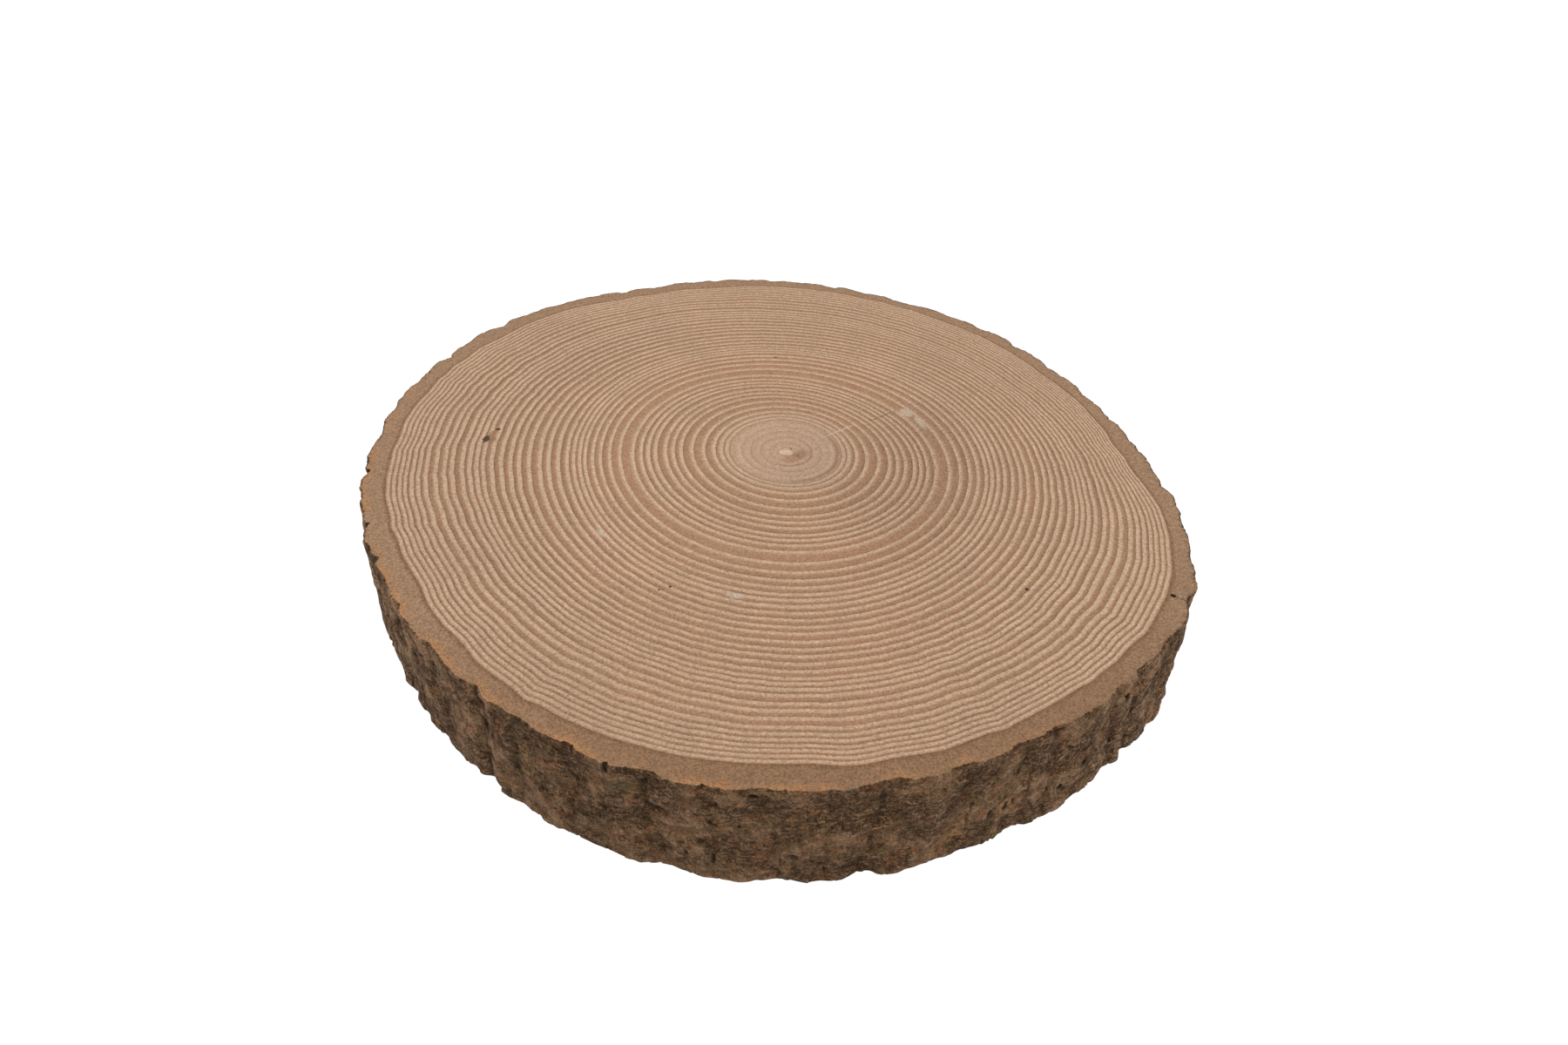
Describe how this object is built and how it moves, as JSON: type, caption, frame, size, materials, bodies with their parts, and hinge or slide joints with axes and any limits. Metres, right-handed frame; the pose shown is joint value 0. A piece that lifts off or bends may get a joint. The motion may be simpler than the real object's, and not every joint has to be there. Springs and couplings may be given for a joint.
{
  "type": "wood slice",
  "caption": "Thick round slice sawn from a log, bark left on, with level faces to serve as a board, stand or riser.",
  "frame": {"origin": "middle of the underside, below the centre of the slice's box", "axes": "+Z is the log's own axis and points up from the underside; +X is to the right and +Y away in the picture"},
  "size_m": [0.3005, 0.3084, 0.041],
  "materials": {
    "sawn_wood": "matte, sawn end grain",
    "bark": "rough, weathered bark"
  },
  "bodies": {
    "root": {"wood_slice": "sawn_wood"}
  },
  "joints": []
}
